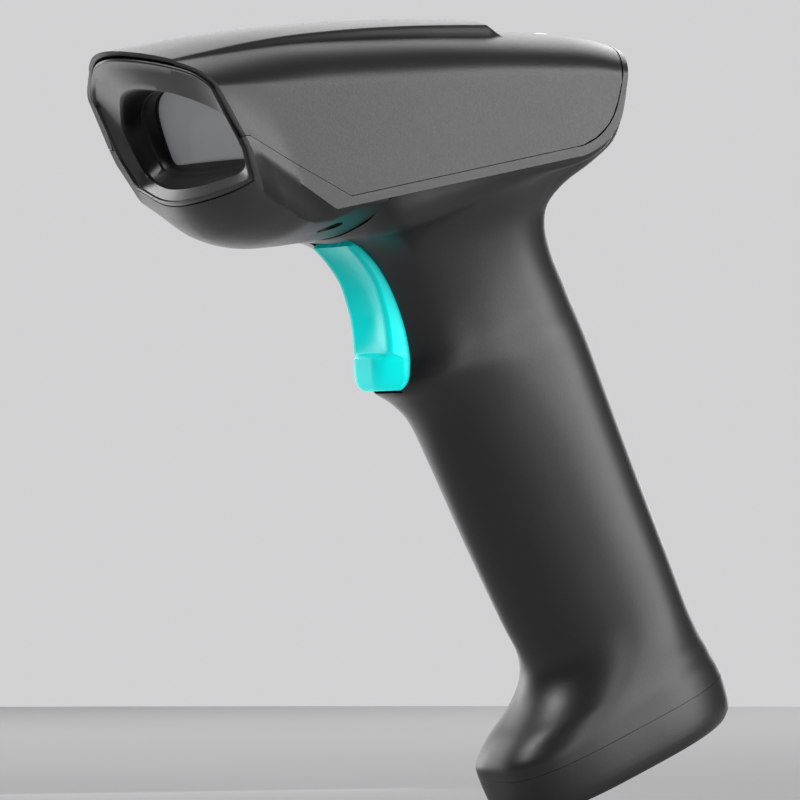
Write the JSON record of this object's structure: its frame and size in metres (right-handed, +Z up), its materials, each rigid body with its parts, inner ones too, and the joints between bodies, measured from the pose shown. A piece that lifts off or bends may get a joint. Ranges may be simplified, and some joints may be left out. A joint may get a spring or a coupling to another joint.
{
  "type": "handheld barcode scanner",
  "caption": "Pistol-grip handheld barcode scanner: wedge head with recessed window, tilted handle with a flared toe, hinged trigger, boards, cell and imaging engine inside.",
  "frame": {"origin": "on the flat underside of the base cap, in the middle plane, near the middle of its length", "axes": "+Z up with the head level, -Y the way the window looks, +X the scanner's left side"},
  "size_m": [0.0634, 0.1469, 0.1697],
  "materials": {
    "shell": "fine matte moulded dark grey",
    "grip": "fine matte moulded dark grey",
    "bezel": "satin moulded dark grey",
    "gasket": "matt black",
    "window": "clear, polished",
    "light_pipe": "polished, milky",
    "trigger": "satin cyan",
    "steel": "plated",
    "black_plastic": "matt black",
    "board": "green solder mask",
    "lens": "coated",
    "clear": "clear, polished",
    "sensor": "dark sensor glass",
    "chip": "moulded black",
    "tin": "bright tinned sheet",
    "white_plastic": "moulded white",
    "flex": "amber film",
    "wrap": "blue heat-shrink",
    "brass": "plated"
  },
  "bodies": {
    "housing": {"upper_shell": "shell", "chin_frame": "shell", "handle_shell": "grip", "base_cap": "grip", "nose_bezel": "bezel", "window_gasket": "gasket", "window_pane": "window", "status_lens": "light_pipe", "trigger_pin": "steel", "switch_body": "black_plastic", "switch_board": "board", "engine_body": "black_plastic", "lens_barrel": "black_plastic", "lens_glass": "lens", "light_lens_l": "clear", "light_lens_r": "clear", "aimer_lens": "lens", "image_sensor": "sensor", "engine_board": "board", "engine_chassis": "black_plastic", "engine_screw_l": "steel", "engine_screw_r": "steel", "main_board": "board", "board_screw_1": "steel", "board_screw_2": "steel", "board_screw_3": "steel", "board_screw_4": "steel", "cpu_chip": "chip", "memory_chip": "chip", "radio_module": "tin", "board_connector": "white_plastic", "battery_connector": "white_plastic", "status_led": "white_plastic", "buzzer": "black_plastic", "flex_cable": "flex", "battery_cell": "wrap", "battery_contact_top": "brass", "battery_contact_base": "brass", "battery_cradle": "black_plastic", "charge_board": "board", "usb_socket": "tin", "usb_tongue": "chip", "chin_screw_l": "steel", "chin_screw_r": "steel", "base_screw_front": "steel", "base_screw_rear": "steel"},
    "trigger": {"trigger": "trigger", "trigger_spring": "steel"},
    "switch_plunger": {"switch_plunger": "white_plastic"}
  },
  "joints": [
    {"name": "trigger_hinge", "type": "hinge", "parent": "housing", "child": "trigger", "pos_m": [0, -0.0628, 0.1132], "axis": [1, 0, 0], "range_deg": [0, 5], "stiffness_Nm_per_rad": 0.25, "springref_deg": -8.59},
    {"name": "plunger_slide", "type": "slide", "parent": "housing", "child": "switch_plunger", "axis": [0, 0.9929, 0.1191], "range_m": [0, 0.0014]}
  ],
  "couplings": [
    {"joint": "plunger_slide", "follows": "trigger_hinge", "m_per_rad": 0.0156}
  ]
}
